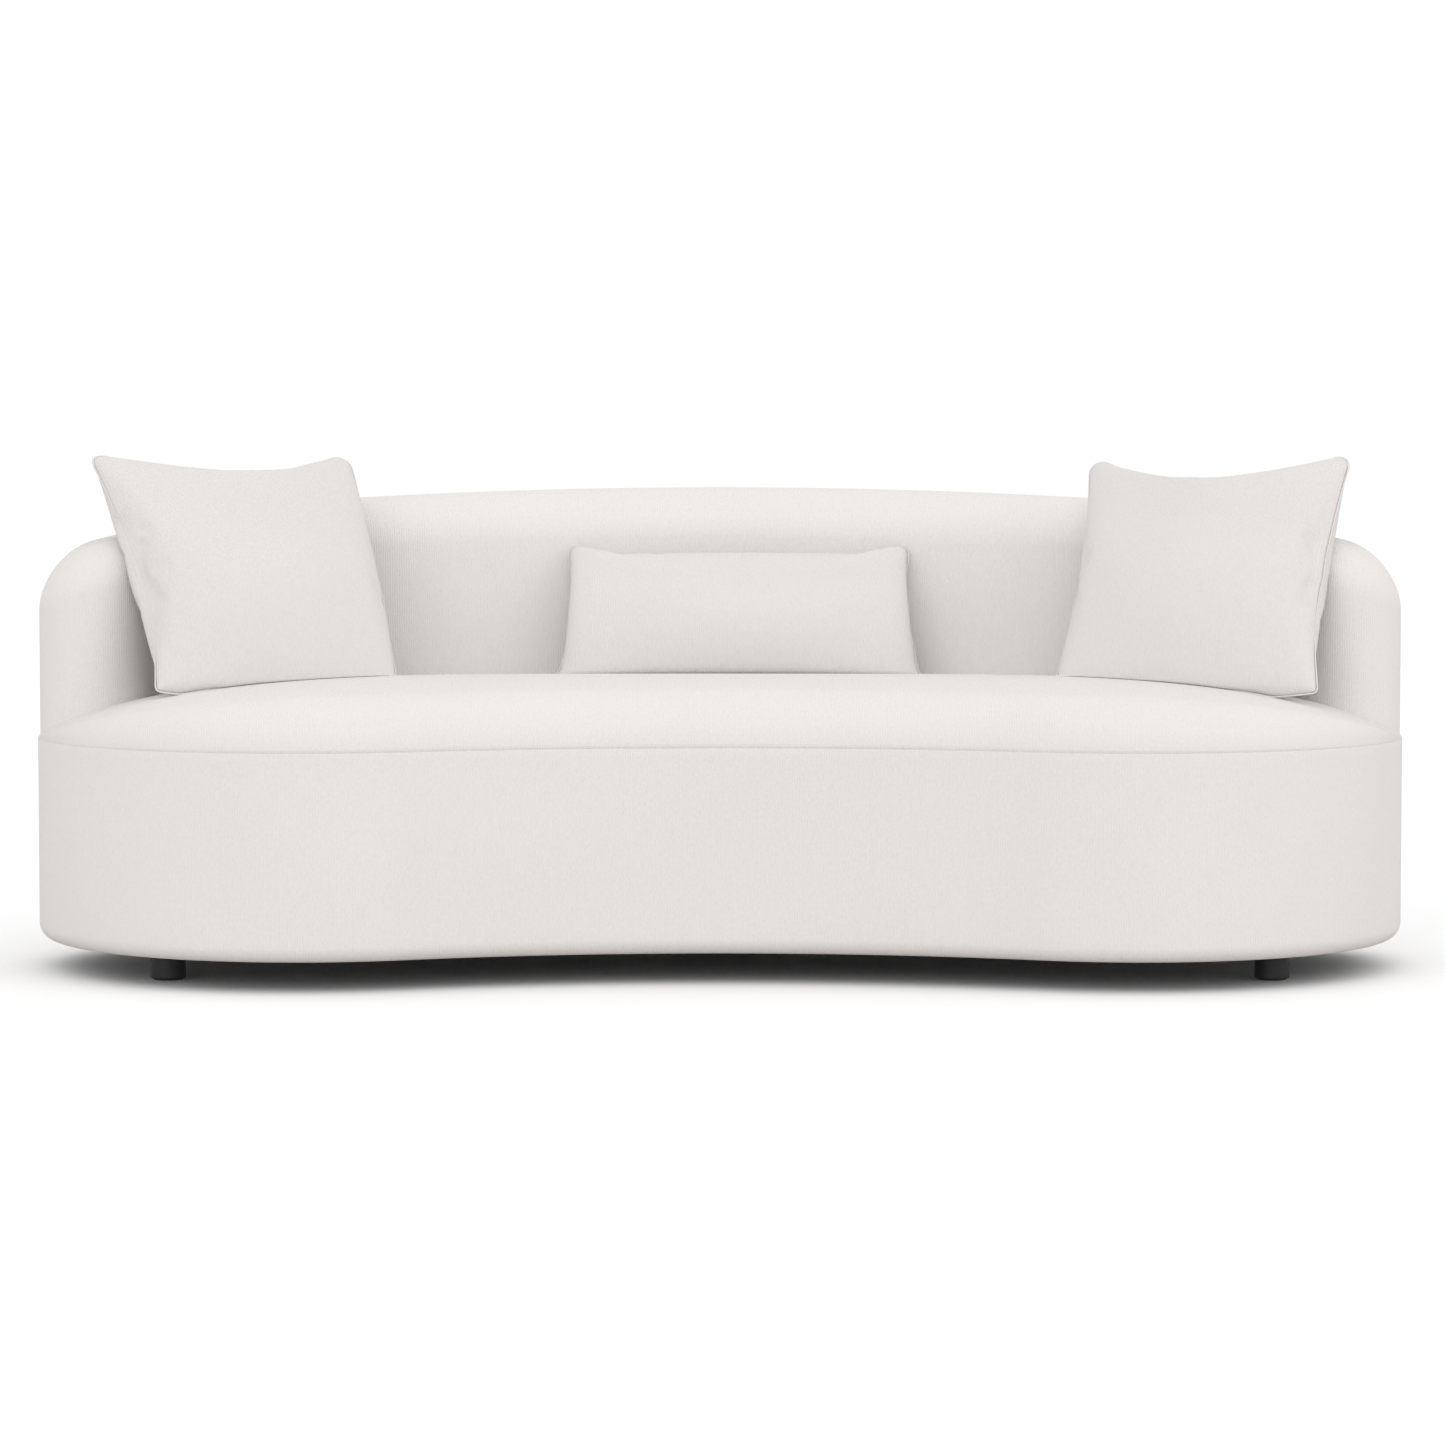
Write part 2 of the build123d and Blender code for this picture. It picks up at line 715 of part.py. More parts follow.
def shell_distance(point):
    """How far a place lies from the back and arms, below zero inside them."""
    across = abs(point.X)
    half = shell_thickness / 2
    if point.Y < side_y:
        off_middle = sqrt((across - half_width + half) ** 2 + (point.Y - side_y) ** 2)
    elif degrees(atan2(point.Y - back_y, across)) > corner_angle:
        off_middle = abs(back_radius - half - sqrt(across**2 + (point.Y - back_y) ** 2))
    else:
        off_middle = abs(rear_corner_radius - half - sqrt((across - corner_x) ** 2 + (point.Y - side_y) ** 2))
    beside = off_middle - half + rim_roll
    above = point.Z - rim_height(point.X) + rim_roll
    return sqrt(max(beside, 0) ** 2 + max(above, 0) ** 2) + min(max(beside, above), 0) - rim_roll


def settle(x, turn, lean, size):
    """Lays a pillow on the seat and slides it back until it leans on the back."""
    points = pillow_points(pillow_plane(0, 0, 0, turn, lean), *size)
    near = -body_depth / 2
    far = body_depth / 2
    for _ in range(settle_rounds):
        y = (near + far) / 2
        z = pillow_gap + max(seat_height(x + point.X, y + point.Y) - point.Z for point in points if point.Z < 0)
        if min(shell_distance(point + Vector(x, y, z)) for point in points) > pillow_back_gap:
            near = y
        else:
            far = y
    return pillow_plane(x, y, z, turn, lean)


square_pillow_x = half_width - square_pillow_from_side
square_pillow = (square_pillow_size, square_pillow_size, square_pillow_thickness)
long_pillow = (long_pillow_width, long_pillow_height, long_pillow_thickness)
left_place = settle(-square_pillow_x, square_pillow_turn, square_pillow_lean, square_pillow)
right_place = settle(square_pillow_x, -square_pillow_turn, square_pillow_lean, square_pillow)
long_place = settle(long_pillow_x, 0, long_pillow_lean, long_pillow)
pillow("left_pillow", left_place, *square_pillow)
pillow("right_pillow", right_place, *square_pillow)
pillow("long_pillow", long_place, *long_pillow)
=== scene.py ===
import json
from math import acos, asin, atan2, cos, pi, radians, sin, sqrt
from typing import NamedTuple

import bmesh
import bpy
import numpy as np
from mathutils import Matrix, Vector


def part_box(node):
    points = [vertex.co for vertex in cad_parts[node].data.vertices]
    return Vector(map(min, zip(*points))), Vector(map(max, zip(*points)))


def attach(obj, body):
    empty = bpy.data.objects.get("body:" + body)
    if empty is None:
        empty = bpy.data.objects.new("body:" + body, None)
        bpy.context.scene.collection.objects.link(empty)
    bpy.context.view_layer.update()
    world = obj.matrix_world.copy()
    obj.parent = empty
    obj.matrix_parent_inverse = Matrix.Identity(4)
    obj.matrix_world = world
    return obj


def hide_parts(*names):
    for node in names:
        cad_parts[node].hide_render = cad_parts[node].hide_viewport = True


# The looks of a curved sofa: upholstery, three loose pillows, feet, floor, light and camera.
# X runs along the sofa, -Y is its front, Z is up from the floor, all in metres.

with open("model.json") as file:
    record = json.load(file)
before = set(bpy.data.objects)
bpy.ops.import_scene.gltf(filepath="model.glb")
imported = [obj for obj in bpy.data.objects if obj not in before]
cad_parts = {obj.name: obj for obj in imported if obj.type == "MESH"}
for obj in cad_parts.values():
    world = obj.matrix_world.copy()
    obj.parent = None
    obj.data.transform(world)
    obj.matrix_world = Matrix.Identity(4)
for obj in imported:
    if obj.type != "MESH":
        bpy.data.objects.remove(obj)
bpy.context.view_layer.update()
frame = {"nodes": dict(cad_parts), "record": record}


class Pillow(NamedTuple):
    """How a pillow is sized, placed and filled; lengths in metres, angles in degrees."""

    size: tuple  # along, up and through
    turn: float  # to the middle of the sofa
    lean: float  # back from upright
    draw_in: tuple  # of the sewn edge, at the middle of its left, right, top and bottom
    end_power: int  # the higher, the nearer to the corners the top and bottom are drawn in
    corner_shift: tuple  # across and up: top left, top right, bottom left, bottom right
    waist: tuple  # how far the filled sides are drawn in: left and right
    lip_panel: int  # the panel that rolls out over the sewn edge: 1 in front, -1 behind
    lip: tuple  # how far it rolls out: left, right and top
    corner_round: float  # radius of the upper corners
    fullness: float  # power of the dome, lower is fuller


class SeatArc(NamedTuple):
    """One arc of the seat's section: its centre, its radius and where it starts and ends in y."""

    y: float
    z: float
    radius: float
    start: float
    end: float


# Sizes read from the frame
border_low, border_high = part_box("front_border_cover")
back_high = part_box("outside_back_cover")[1]
half_width = border_high[0]
side_y = border_high[1]
seam_height = border_high[2]
ground_clearance = border_low[2]
lobe_radius = side_y - border_low[1]
rear_y = back_high[1]

# Curves of the plan and the rim, which the frame's boxes don't give
front_hollow_radius = 1.35
rear_corner_radius = 0.34
shell_thickness = 0.185
back_height = 0.8
rim_roll = 0.088
rim_arch_radius = 11.9
rim_shoulder_start = 0.7
rim_shoulder_radius = 1.56
rim_seam_inset = 0.012

# Lower edge, and how far the covers turn in behind their faces
bottom_roll = 0.026
hem_width = 0.075
wall = 0.02
border_lid = 0.07

# The seat's crown: how it falls to the sides, and what its front roll and its back take of it
seat_crown = 0.102
crown_end_gap = 0.01
crown_fall = 5.5
crown_roll_share = 0.9
crown_back_share = 0.74
crown_back_reach = 0.29

# Seams: their depth and rounding, how many depths the seat tucks in, and the turn in which the rim's fades
seam_tuck = 0.001
seam_round = 0.0009
tuck_reach = 3
seam_fade = radians(5)

# Centres of the plan's arcs
lobe_x = half_width - lobe_radius
corner_x = half_width - rear_corner_radius
rear_reach = rear_y - side_y
front_y = side_y - sqrt((front_hollow_radius + lobe_radius) ** 2 - lobe_x**2)
back_radius = (half_width**2 + rear_reach**2 - 2 * half_width * rear_corner_radius) / (
    2 * (rear_reach - rear_corner_radius)
)
back_y = rear_y - back_radius
lobe_turn = atan2(front_y - side_y, -lobe_x)
corner_turn = atan2(side_y - back_y, corner_x)
arm_x = half_width - shell_thickness / 2

# Pillows
pillows = {
    "left_pillow": Pillow(
        size=(0.45, 0.45, 0.135),
        turn=26,
        lean=36,
        draw_in=(0.0, -0.006, 0.018, -0.016),
        end_power=2,
        corner_shift=((-0.012, 0.0), (0.012, -0.008), (0.02, 0.0), (-0.014, 0.0)),
        waist=(0.024, 0.0),
        lip_panel=-1,
        lip=(0.022, 0.0, 0.0),
        corner_round=0.03,
        fullness=0.44,
    ),
    "right_pillow": Pillow(
        size=(0.45, 0.45, 0.135),
        turn=-26,
        lean=36,
        draw_in=(0.0, 0.0, 0.028, -0.016),
        end_power=2,
        corner_shift=((-0.014, -0.018), (0.017, -0.004), (0.036, 0.0), (0.038, 0.0)),
        waist=(0.012, 0.022),
        lip_panel=-1,
        lip=(0.0, 0.02, 0.0),
        corner_round=0.034,
        fullness=0.44,
    ),
    "long_pillow": Pillow(
        size=(0.6, 0.236, 0.118),
        turn=0,
        lean=27,
        draw_in=(0.02, 0.02, 0.028, -0.008),
        end_power=6,
        corner_shift=((0.0, 0.006), (0.0, 0.006), (-0.012, 0.0), (0.012, 0.0)),
        waist=(0.004, 0.004),
        lip_panel=1,
        lip=(0.018, 0.018, 0.008),
        corner_round=0.052,
        fullness=0.36,
    ),
}

# Filling of every pillow: the belly is where it sinks to, from -1 at the foot to 1 at the top
pillow_foot_round = 0.006
pillow_swell = 1.03
pillow_belly = 0.42
belly_place = -0.36
belly_reach = 0.64
waist_power = 3
lip_start = 0.6
lip_end_power = 8
pillow_sink = 0.03
pillow_sink_reach = 0.2
pillow_clearance = 0.0005
sewn_edge = 0.0013
inflate_pressure = 4
inflate_frames = 20

# How many points the curves and surfaces have
lobe_steps = 70
hollow_steps = 90
corner_steps = 56
back_steps = 110
arm_steps = 41
seat_columns = 221
seat_roll_steps = 18
seat_top_steps = 40
bottom_roll_steps = 12
border_steps = 24
border_seam_steps = 5
outside_steps = 30
outside_roll_steps = 9
inside_steps = 26
pillow_columns = 64
pillow_least_rows = 24
merge_distance = 1e-5

# Weave: widths of ribs and picks, how strongly they stand out, and the noises that make them uneven
cloth_layer = "cloth"
rib_width = 0.0042
pillow_rib_width = 0.0034
pick_width = 0.0024
rib_height = 0.5
pick_height = 0.15
rib_tone = 0.18
slub_scale = 420
slub_detail = 4
slub_stretch = (1, 0.35, 1)
slub_height = 1.6
sway_scale = 60
sway_turn = 7.0
broad_scale = 5
broad_tone = 0.25
soft_detail = 2
noise_middle = 0.5
weave_depth = 0.0006
weave_strength = 0.6
cloth_finish = {
    "Roughness": 0.92,
    "Specular IOR Level": 0.2,
    "Sheen Weight": 0.12,
    "Sheen Roughness": 0.5,
}
grain_detail = 6
grain_strength = 0.4

# Colours of the cloth, from its darkest to its lightest threads
upholstery_tones = (0.71, 0.684, 0.66), (0.814, 0.79, 0.769)
pillow_tones = (0.656, 0.628, 0.607), (0.766, 0.738, 0.719)

# Stage: each sun's strength and the way it shines
white = (1, 1, 1, 1)
floor_reach = 30
floor_bounce = (0.68, 0.66, 0.65, 1)
surround_strength = 0.91
sun_spread = radians(60)
suns = {"key": (0.76, (0.2, 0.87, -0.45)), "side": (0.42, (-0.85, 0.3, -0.4))}

# Camera: the pitch is in degrees below level, the lens and the sensor in millimetres
camera_place = (0.004, -7.973, 0.913)
camera_pitch = 3.63
camera_lens = 117.5
camera_sensor = 36


def link(obj):
    """Puts an object into the scene."""
    bpy.context.scene.collection.objects.link(obj)
    return obj


def mesh_piece(name, vertices, faces, places):
    """A smooth mesh, with a texture place in metres for each corner of each face."""
    mesh = bpy.data.meshes.new(name)
    mesh.from_pydata(vertices, [], faces)
    layer = mesh.uv_layers.new(name=cloth_layer)
    layer.data.foreach_set("uv", np.array(places, dtype=np.float32).ravel())
    mesh.polygons.foreach_set("use_smooth", [True] * len(mesh.polygons))
    return link(bpy.data.objects.new(name, mesh))


def grid_piece(name, points, closed_rows=False, closed_columns=False, caps=False):
    """A mesh through a grid of points, with texture places measured in metres along it."""
    points = np.asarray(points, dtype=float)
    rows, columns = points.shape[:2]
    down = np.linalg.norm(np.diff(points, axis=0), axis=2)
    along = np.linalg.norm(np.diff(points, axis=1), axis=2)
    v_at = np.concatenate([[0], np.cumsum(down.max(axis=1))])
    u_at = np.concatenate([[0], np.cumsum(along.max(axis=0))])
    last_row = rows if closed_rows else rows - 1
    last_column = columns if closed_columns else columns - 1
    faces = []
    places = []
    for row in range(last_row):
        for column in range(last_column):
            next_row = (row + 1) % rows
            next_column = (column + 1) % columns
            faces.append(
                (
                    row * columns + column,
                    row * columns + next_column,
                    next_row * columns + next_column,
                    next_row * columns + column,
                )
            )
            u, v = u_at[column], v_at[row]
            u_next = u_at[next_column] if next_column else u + along[0, -1]
            v_next = v_at[next_row] if next_row else v + down[-1, 0]
            places += [(u, v), (u_next, v), (u_next, v_next), (u, v_next)]
    if caps:
        for column in (0, columns - 1):
            faces.append([row * columns + column for row in range(rows)])
            places += [(points[row, column, 1], points[row, column, 2]) for row in range(rows)]
    obj = mesh_piece(name, points.reshape(-1, 3).tolist(), faces, places)
    shape = bmesh.new()
    shape.from_mesh(obj.data)
    bmesh.ops.remove_doubles(shape, verts=shape.verts, dist=merge_distance)
    bmesh.ops.recalc_face_normals(shape, faces=shape.faces)
    shape.to_mesh(obj.data)
    shape.free()
    return obj


def arc(centre, radius, start, end, steps):
    """Points along an arc, angles in radians."""
    turns = np.linspace(start, end, steps)
    return [(centre[0] + radius * cos(a), centre[1] + radius * sin(a)) for a in turns]


def front_path(inset):
    """The outline's front from the right side to the left, brought in by inset."""
    path = arc((lobe_x, side_y), lobe_radius - inset, 0, lobe_turn, lobe_steps)
    path += arc((0, front_y), front_hollow_radius + inset, lobe_turn + pi, -lobe_turn, hollow_steps)[1:-1]
    path += arc((-lobe_x, side_y), lobe_radius - inset, -pi - lobe_turn, -pi, lobe_steps)
    return path


def rear_path(inset):
    """The outline's rear from the right side to the left, brought in by inset."""
    path = arc((corner_x, side_y), rear_corner_radius - inset, 0, corner_turn, corner_steps)
    path += arc((0, back_y), back_radius - inset, corner_turn, pi - corner_turn, back_steps)[1:-1]
    path += arc((-corner_x, side_y), rear_corner_radius - inset, pi - corner_turn, pi, corner_steps)
    return path


def shell_ring(inset, tucked):
    """The loop round the back and arms at an inset; the rear stretch goes in further by tucked."""
    arm_radius = shell_thickness / 2 - inset
    ring = rear_path(inset + tucked)
    ring += arc((-arm_x, side_y), arm_radius, pi, 2 * pi, arm_steps)[1:-1]
    ring += reversed(rear_path(shell_thickness - inset))
    ring += arc((arm_x, side_y), arm_radius, -pi, 0, arm_steps)[1:-1]
    return ring


def rim_height(x):
    """How high the rim's arch is at x."""
    across = abs(x)
    arch_z = back_height - rim_arch_radius
    if across < rim_shoulder_start:
        return arch_z + sqrt(rim_arch_radius**2 - across**2)
    turn = asin(rim_shoulder_start / rim_arch_radius)
    centre_gap = rim_arch_radius - rim_shoulder_radius
    from_centre = across - centre_gap * sin(turn)
    return arch_z + centre_gap * cos(turn) + sqrt(rim_shoulder_radius**2 - from_centre**2)


def level_row(path, z):
    """A path at one height."""
    return [(x, y, z) for x, y in path]


def wall_row(path, low, share):
    """A path some share of the way from a level up to where the rim's roll starts."""
    return [(x, y, low + (rim_height(x) - rim_roll - low) * share) for x, y in path]


def rim_row(path, drop):
    """A path that follows the rim's arch, lower by drop."""
    return [(x, y, rim_height(x) - drop) for x, y in path]


def front_line(x):
    """Where the front of the outline lies at x."""
    across = abs(x)
    meeting = lobe_x * front_hollow_radius / (front_hollow_radius + lobe_radius)
    if across < meeting:
        return front_y + sqrt(front_hollow_radius**2 - across**2)
    return side_y - sqrt(max(lobe_radius**2 - (across - lobe_x) ** 2, 0))


def seat_profile(x):
    """The seat's section at x: the arc of its front roll, then the long arc behind it."""
    crown = seat_crown * (1 - (abs(x) / half_width) ** crown_fall)
    rise = crown_roll_share * crown
    roll = crown_roll_share * rise
    front = front_line(x)
    back = side_y + crown_back_reach * sqrt(1 - (x / half_width) ** 2)
    radius = (roll**2 + rise**2) / (2 * roll)
    run = back - front - roll
    drop = crown_back_share * crown - rise
    inward = ((radius - roll) / radius, -rise / radius)
    long_radius = (run**2 + drop**2) / (2 * (run * inward[0] + drop * inward[1]))
    meeting = front + roll
    long_y = meeting + long_radius * inward[0]
    long_z = seam_height + rise + long_radius * inward[1]
    return (
        SeatArc(front + radius, seam_height, radius, front, meeting),
        SeatArc(long_y, long_z, long_radius, meeting, back),
    )


def arc_height(part, y):
    """How far above its centre an arc of the seat lies at y."""
    return sqrt(max(part.radius**2 - (y - part.y) ** 2, 0))


def seat_height(x, y):
    """How high the seat lies at a place."""
    limit = half_width - crown_end_gap
    roll, top = seat_profile(max(-limit, min(limit, x)))
    part = roll if y < top.start else top
    return part.z + arc_height(part, max(part.start, min(part.end, y)))


def make_seat():
    """The tight crowned seat, tucked into its seam with the border."""
    end = half_width - crown_end_gap
    tucked_z = seam_height - seam_tuck
    columns = []
    for share in np.sin(np.linspace(-pi / 2, pi / 2, seat_columns)):
        x = end * share
        roll, top = seat_profile(x)
        tuck = min(seam_tuck, (roll.end - roll.start) / tuck_reach)
        column = [
            (x, roll.start + tuck_reach * tuck, tucked_z),
            (x, roll.start + tuck, seam_height - seam_tuck / 2),
            (x, roll.start + tuck / 4, seam_height),
        ]
        for part, steps in ((roll, seat_roll_steps), (top, seat_top_steps)):
            first = atan2(arc_height(part, part.start), part.start - part.y)
            last = atan2(arc_height(part, part.end), part.end - part.y)
            for angle in np.linspace(first, last, steps)[1:]:
                column.append((x, part.y + part.radius * cos(angle), part.z + part.radius * sin(angle)))
        column.append((x, top.end, tucked_z))
        columns.append(column)
    points = np.swapaxes(np.array(columns), 0, 1)
    return grid_piece("seat_upholstery", points, closed_rows=True, caps=True)


def lower_profile():
    """The base's lower edge as (inset, height): the hem underneath, then the rolled edge."""
    profile = [(hem_width, ground_clearance)]
    for angle in np.linspace(0, pi / 2, bottom_roll_steps):
        inset = bottom_roll * (1 - sin(angle))
        profile.append((inset, ground_clearance + bottom_roll * (1 - cos(angle))))
    return profile


def make_front_border():
    """The border under the seat, from its hem to the seam."""
    low = ground_clearance + bottom_roll
    profile = lower_profile()
    profile += [(0, z) for z in np.linspace(low, seam_height - seam_round, border_steps)[1:]]
    for angle in np.linspace(0, pi / 2, border_seam_steps)[1:]:
        inset = seam_round * (1 - cos(angle))
        profile.append((inset, seam_height - seam_round * (1 - sin(angle))))
    profile += [
        (seam_round + seam_tuck, seam_height - seam_tuck),
        (border_lid, seam_height - seam_tuck),
        (border_lid, seam_height - wall),
        (wall, seam_height - wall),
        (wall, ground_clearance + wall),
        (hem_width, ground_clearance + seam_tuck),
    ]
    rows = [level_row(front_path(inset), z) for inset, z in profile]
    return grid_piece("front_border_upholstery", rows, closed_rows=True, caps=True)


def roll_angle(inset):
    """How far round the rim's roll an inset from the face lies."""
    return acos(1 - inset / rim_roll)


def make_outside_back():
    """The outside of the back and arms, from its hem to the seam on the rim's roll."""
    rows = [level_row(rear_path(inset), z) for inset, z in lower_profile()]
    for share in np.linspace(0, 1, outside_steps)[1:]:
        rows.append(wall_row(rear_path(0), ground_clearance + bottom_roll, share))
    seam_angle = roll_angle(rim_seam_inset)
    for angle in np.linspace(0, seam_angle, outside_roll_steps)[1:]:
        inset = rim_roll * (1 - cos(angle))
        rows.append(rim_row(rear_path(inset), rim_roll * (1 - sin(angle))))
    tucked = rim_roll * (1 - sin(seam_angle)) + seam_tuck
    for inset in (rim_seam_inset + seam_tuck / 2, wall):
        rows.append(rim_row(rear_path(inset), tucked))
    rows.append(level_row(rear_path(wall), ground_clearance + wall))
    rows.append(level_row(rear_path(hem_width), ground_clearance + seam_tuck))
    return grid_piece("outside_back_upholstery", rows, closed_rows=True, caps=True)


def make_inside_back():
    """The inside of the back and arms with the rolled rim, down to the seat."""
    rows = []
    for share in np.linspace(0, 1, inside_steps):
        rows.append(wall_row(shell_ring(0, seam_round), seam_height - seam_tuck, share))
    seam_angle = roll_angle(rim_seam_inset)
    for angle in np.linspace(0, pi / 2, inside_steps)[1:]:
        inset = rim_roll * (1 - cos(angle))
        near_seam = max(0, 1 - max(0, angle - seam_angle) / seam_fade)
        ring = shell_ring(inset, seam_round * near_seam)
        rows.append(rim_row(ring, rim_roll * (1 - sin(angle))))
    rows.append(rim_row(shell_ring(shell_thickness / 2, 0), 0))
    return grid_piece("inside_back_upholstery", rows, closed_columns=True)


def pillow_place(name):
    """Where a pillow's own axes lie: along it, up it and out of its front."""
    low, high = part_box(f"{name}_filling")
    turn = radians(pillows[name].turn)
    lean = radians(pillows[name].lean)
    along = Vector((cos(turn), sin(turn), 0))
    facing = Vector((sin(turn) * cos(lean), -cos(turn) * cos(lean), sin(lean)))
    up = facing.cross(along)
    place = Matrix((along, up, facing)).transposed().to_4x4()
    place.translation = (Vector(low) + Vector(high)) / 2
    return place


def round_corner(u, v, width, height, radius):
    """Bends the square corners of a panel round to a radius; u and v run from -1 to 1."""
    across = 1 - (1 - abs(u)) * width / 2 / radius
    upward = 1 - (1 - abs(v)) * height / 2 / radius
    if across <= 0 or upward <= 0:
        return u, v
    bent_across = across * sqrt(1 - upward**2 / 2)
    bent_upward = upward * sqrt(1 - across**2 / 2)
    round_u = 1 - (1 - bent_across) * 2 * radius / width
    round_v = 1 - (1 - bent_upward) * 2 * radius / height
    return (round_u if u > 0 else -round_u), (round_v if v > 0 else -round_v)


def pillow_point(pillow, u, v, side):
    """A panel's point before filling; u and v run from -1 to 1, side is 1 in front and -1 behind."""
    width, height, thickness = pillow.size
    left, right, top, bottom = pillow.draw_in
    dome = ((1 - u * u) * (1 - v * v)) ** pillow.fullness
    radius = pillow.corner_round if v > 0 else pillow_foot_round
    round_u, round_v = round_corner(u, v, width, height, radius)
    x = round_u * (width / 2 - (right if u > 0 else left) * (1 - v * v))
    y = round_v * (height / 2 - (top if v > 0 else bottom) * (1 - abs(u) ** pillow.end_power))
    return x, y, side * dome * thickness / 2


def pillow_sheets(name):
    """Two panels joined all round, and the numbers of the points on their sewn edge."""
    pillow = pillows[name]
    width, height = pillow.size[:2]
    across = pillow_columns
    upward = max(pillow_least_rows, round(across * height / width))
    columns = np.linspace(-1, 1, across + 1)
    rows = np.linspace(-1, 1, upward + 1)
    vertices = []
    numbers = {}
    for side in (1, -1):
        for j, v in enumerate(rows):
            for i, u in enumerate(columns):
                edge = i in (0, across) or j in (0, upward)
                if edge and side == -1:
                    numbers[side, i, j] = numbers[1, i, j]
                    continue
                numbers[side, i, j] = len(vertices)
                vertices.append(pillow_point(pillow, u, v, side))
    faces = []
    places = []
    for side in (1, -1):
        for j in range(upward):
            for i in range(across):
                corners = [(i, j), (i + 1, j), (i + 1, j + 1), (i, j + 1)]
                if side == -1:
                    corners.reverse()
                faces.append([numbers[side, a, b] for a, b in corners])
                places += [(columns[a] * width / 2, rows[b] * height / 2) for a, b in corners]
    border = [numbers[1, i, 0] for i in range(across)]
    border += [numbers[1, across, j] for j in range(upward)]
    border += [numbers[1, i, upward] for i in range(across, 0, -1)]
    border += [numbers[1, 0, j] for j in range(upward, 0, -1)]
    return mesh_piece(name, vertices, faces, places), border


def vertex_places(mesh):
    """A mesh's points, as rows of x, y and z."""
    places = np.empty(len(mesh.vertices) * 3)
    mesh.vertices.foreach_get("co", places)
    return places.reshape(-1, 3)


def inflate(obj):
    """Where a closed cloth's points come to when it is blown up from inside, with no gravity."""
    cloth = obj.modifiers.new("inflate", "CLOTH")
    cloth.settings.quality = 8
    cloth.settings.mass = 0.3
    cloth.settings.tension_stiffness = 40
    cloth.settings.compression_stiffness = 40
    cloth.settings.shear_stiffness = 20
    cloth.settings.bending_stiffness = 8
    cloth.settings.use_pressure = True
    cloth.settings.uniform_pressure_force = inflate_pressure
    cloth.settings.effector_weights.gravity = 0
    cloth.collision_settings.use_collision = False
    cloth.point_cache.frame_start = 1
    cloth.point_cache.frame_end = inflate_frames
    scene = bpy.context.scene
    for number in range(1, inflate_frames + 1):
        scene.frame_set(number)
        bpy.context.view_layer.update()
    graph = bpy.context.evaluated_depsgraph_get()
    places = vertex_places(obj.evaluated_get(graph).data)
    obj.modifiers.remove(cloth)
    scene.frame_set(1)
    return places


def lip_rise(share):
    """How a panel rolls out over its sewn edge, from the middle at 0 to the edge at 1."""
    return np.sin(pi * np.maximum(0, (share - lip_start) / (1 - lip_start)) ** 2)


def settle_filling(pillow, places):
    """Moves a pillow's corners to how they lie, and lets its filling sink into its lower half."""
    width, height = pillow.size[:2]
    u = np.clip(2 * places[:, 0] / width, -1, 1)
    v = np.clip(2 * places[:, 1] / height, -1, 1)
    belly = np.maximum(0, 1 - ((v - belly_place) / belly_reach) ** 2) * (1 - u**2)
    front = places[:, 2] > 0
    places[front, 2] *= 1 + pillow_belly * belly[front]
    left, right = pillow.waist
    places[:, 0] += np.where(u > 0, -right, left) * np.abs(u) ** waist_power * (1 - v**2)
    left, right, top = pillow.lip
    rolled = places[:, 2] * pillow.lip_panel > 0
    over_u = lip_rise(np.abs(u)) * (1 - v**2)
    over_v = lip_rise(v) * (1 - u**lip_end_power)
    places[rolled, 0] += (over_u * np.where(u > 0, right, -left))[rolled]
    places[rolled, 1] += (over_v * top)[rolled]
    shares = ((1 - u) * (1 + v), (1 + u) * (1 + v), (1 - u) * (1 - v), (1 + u) * (1 - v))
    for share, (across, upward) in zip(shares, pillow.corner_shift):
        places[:, 0] += across * share / 4
        places[:, 1] += upward * share / 4


def lay_on_seat(points):
    """Lets a pillow's lower part give way under its weight, down to the seat and no further."""
    lowest = min(point.z for point in points)
    for point in points:
        share = max(0, 1 - (point.z - lowest) / pillow_sink_reach)
        seat_z = seat_height(point.x, point.y) + pillow_clearance
        point.z = max(point.z - pillow_sink * share**2, seat_z)


def make_seam(name, points):
    """A pillow's sewn edge, as a fine bead all round it."""
    curve = bpy.data.curves.new(f"{name}_seam", "CURVE")
    curve.dimensions = "3D"
    curve.bevel_depth = sewn_edge
    curve.bevel_resolution = 2
    line = curve.splines.new("NURBS")
    line.points.add(len(points) - 1)
    for spot, point in zip(line.points, points):
        spot.co = (*point, 1)
    line.use_cyclic_u = True
    line.order_u = 4
    return link(bpy.data.objects.new(f"{name}_seam", curve))


def make_pillow(name):
    """A loose pillow: two panels sewn all round and filled, and the bead of its sewn edge."""
    pillow = pillows[name]
    obj, border = pillow_sheets(name)
    places = vertex_places(obj.data)
    places = inflate(obj)
    extent = places.max(axis=0) - places.min(axis=0)
    middle = (places.max(axis=0) + places.min(axis=0)) / 2
    places = (places - middle) * (np.array(pillow.size) * pillow_swell / extent)
    settle_filling(pillow, places)
    place = pillow_place(name)
    placed = [place @ Vector(point) for point in places]
    lay_on_seat(placed)
    obj.data.vertices.foreach_set("co", np.array(placed).ravel())
    obj.data.update()
    smooth = obj.modifiers.new("smooth", "SUBSURF")
    smooth.levels = 1
    smooth.render_levels = 1
    return obj, make_seam(name, [placed[number] for number in border])


def nodes_of(material):
    """A material's node tree and its main shader."""
    material.use_nodes = True
    tree = material.node_tree
    return tree, tree.nodes["Principled BSDF"]


def math_node(tree, kind, first, second=None):
    """A calculation on one or two values, each a number or another node's output."""
    node = tree.nodes.new("ShaderNodeMath")
    node.operation = kind
    for socket, value in zip(node.inputs, (first, second)):
        if value is None:
            continue
        if isinstance(value, (int, float)):
            socket.default_value = value
        else:
            tree.links.new(value, socket)
    return node.outputs[0]


